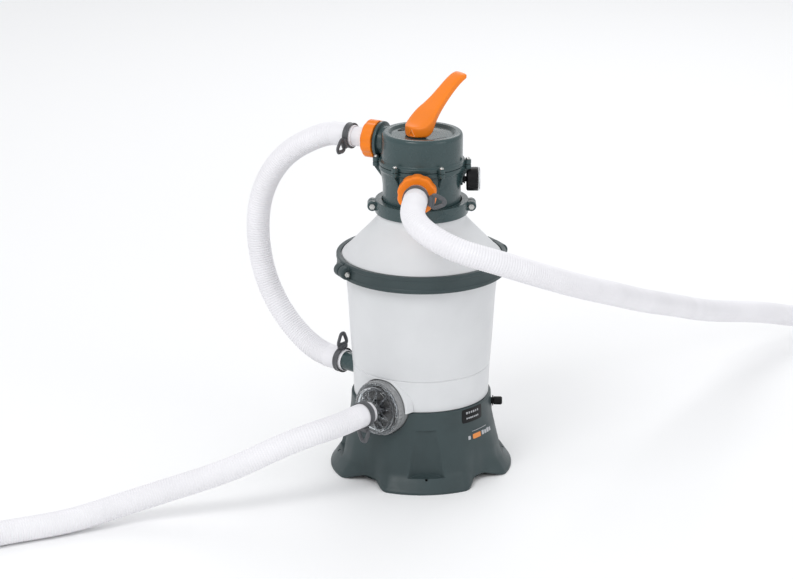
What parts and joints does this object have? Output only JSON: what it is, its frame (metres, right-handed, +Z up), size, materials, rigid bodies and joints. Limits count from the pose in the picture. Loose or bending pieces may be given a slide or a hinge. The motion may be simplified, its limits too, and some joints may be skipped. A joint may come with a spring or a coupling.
{
  "type": "pool sand filter pump",
  "caption": "Sand filter pump for an above-ground pool: tank on a moulded base with a strainer, a multiport valve with a lever on top, a pressure gauge and white ribbed hoses",
  "frame": {"origin": "on the tank's vertical axis, at floor level, in the underside of the base", "axes": "+Z up along the tank, -Y to the front with the return port, +X to the right with the pressure gauge"},
  "size_m": [1.8824, 1.1474, 0.6407],
  "materials": {
    "housing_grey": "dark grey-green moulded polypropylene, satin with a soft sheen",
    "valve_grey": "blue-grey moulded ABS, semi-gloss",
    "tank_white": "off-white moulded polypropylene, satin",
    "hose_white": "white ribbed polyethylene hose",
    "nut_orange": "bright orange moulded plastic, semi-gloss",
    "black_plastic": "black moulded plastic",
    "clamp_grey": "dark grey nylon",
    "seal_rubber": "black rubber",
    "clear_cover": "clear polycarbonate",
    "steel": "bright steel",
    "winding": "laminations and copper winding"
  },
  "bodies": {
    "filter_pump": {"base_housing": "housing_grey", "bearing_front": "steel", "bearing_rear": "steel", "bottom_cover": "housing_grey", "cable_gland": "black_plastic", "clamp_loop_bottom": "clamp_grey", "clamp_loop_top": "clamp_grey", "clamp_return": "clamp_grey", "cover_screw_1": "steel", "cover_screw_2": "steel", "cover_screw_3": "steel", "cover_screw_4": "steel", "cover_screw_5": "steel", "cover_screw_6": "steel", "drain_spout": "black_plastic", "gauge_case": "black_plastic", "gauge_lens": "clear_cover", "hose_inlet": "hose_white", "hose_loop": "hose_white", "hose_return": "hose_white", "label_panel": "black_plastic", "lateral_hub": "tank_white", "motor_front_plate": "black_plastic", "motor_housing": "black_plastic", "motor_stator": "winding", "neck_bolt_left": "steel", "neck_bolt_right": "steel", "neck_clamp_front": "housing_grey", "neck_clamp_rear": "housing_grey", "neck_seal": "seal_rubber", "pump_casing": "housing_grey", "pump_port_tail": "hose_white", "return_tail": "hose_white", "rotor_gasket": "seal_rubber", "shaft_seal": "seal_rubber", "standpipe": "tank_white", "strainer_basket": "clamp_grey", "strainer_body": "black_plastic", "tank_body": "tank_white", "tank_bolt_left": "steel", "tank_bolt_right": "steel", "tank_clamp_front": "housing_grey", "tank_clamp_rear": "housing_grey", "tank_dome": "tank_white", "tank_seal": "seal_rubber", "valve_body": "valve_grey", "valve_cover": "valve_grey"},
    "selector": {"valve_spring": "steel"},
    "stem": {"valve_rotor": "black_plastic", "handle_pin": "steel"},
    "lever": {"valve_handle": "nut_orange"},
    "pump_rotor": {"motor_rotor": "steel", "impeller": "black_plastic"},
    "gauge_pointer": {"gauge_needle": "black_plastic"},
    "strainer_lid": {"strainer_cover": "clear_cover", "clamp_inlet": "clamp_grey"},
    "drain_plug": {"drain_cap": "black_plastic"},
    "waste_plug": {"waste_cap": "valve_grey"},
    "return_union": {"return_nut": "nut_orange"},
    "pump_union": {"pump_port_nut": "nut_orange"}
  },
  "joints": [
    {"name": "selector_turn", "type": "hinge", "parent": "filter_pump", "child": "selector", "pos_m": [0, 0, 0.5475], "axis": [0, 0, 1], "continuous": true},
    {"name": "rotor_lift", "type": "slide", "parent": "selector", "child": "stem", "axis": [0, 0, 1], "range_m": [0, 0.003], "stiffness_N_per_m": 15000, "deforming": ["valve_spring"]},
    {"name": "handle_press", "type": "hinge", "parent": "stem", "child": "lever", "pos_m": [0, 0, 0.5625], "axis": [-0.6157, 0.788, 0], "range_deg": [0, 25]},
    {"name": "pump_spin", "type": "hinge", "parent": "filter_pump", "child": "pump_rotor", "pos_m": [0.00766, -0.00643, 0.129], "axis": [-0.6428, -0.766, 0], "continuous": true},
    {"name": "gauge_reading", "type": "hinge", "parent": "filter_pump", "child": "gauge_pointer", "pos_m": [0.0845, 0, 0.4795], "axis": [-1, 0, 0], "range_deg": [0, 270], "stiffness_Nm_per_rad": 0.002},
    {"name": "strainer_lid_turn", "type": "hinge", "parent": "filter_pump", "child": "strainer_lid", "pos_m": [0.00766, -0.00643, 0.129], "axis": [-0.6428, -0.766, 0], "range_deg": [0, 60]},
    {"name": "drain_cap_turn", "type": "hinge", "parent": "filter_pump", "child": "drain_plug", "pos_m": [0, 0, 0.107], "axis": [0.9994, -0.0349, 0], "continuous": true},
    {"name": "waste_cap_turn", "type": "hinge", "parent": "filter_pump", "child": "waste_plug", "pos_m": [0, 0, 0.48], "axis": [0.0872, 0.9962, 0], "continuous": true},
    {"name": "return_nut_turn", "type": "hinge", "parent": "filter_pump", "child": "return_union", "pos_m": [0, 0, 0.48], "axis": [-0.0906, -0.9959, 0], "continuous": true},
    {"name": "pump_port_nut_turn", "type": "hinge", "parent": "filter_pump", "child": "pump_union", "pos_m": [0, 0, 0.534], "axis": [-0.8829, 0.4695, 0], "continuous": true}
  ],
  "couplings": [
    {"joint": "handle_press", "follows": "rotor_lift", "rad_per_m": 145}
  ]
}
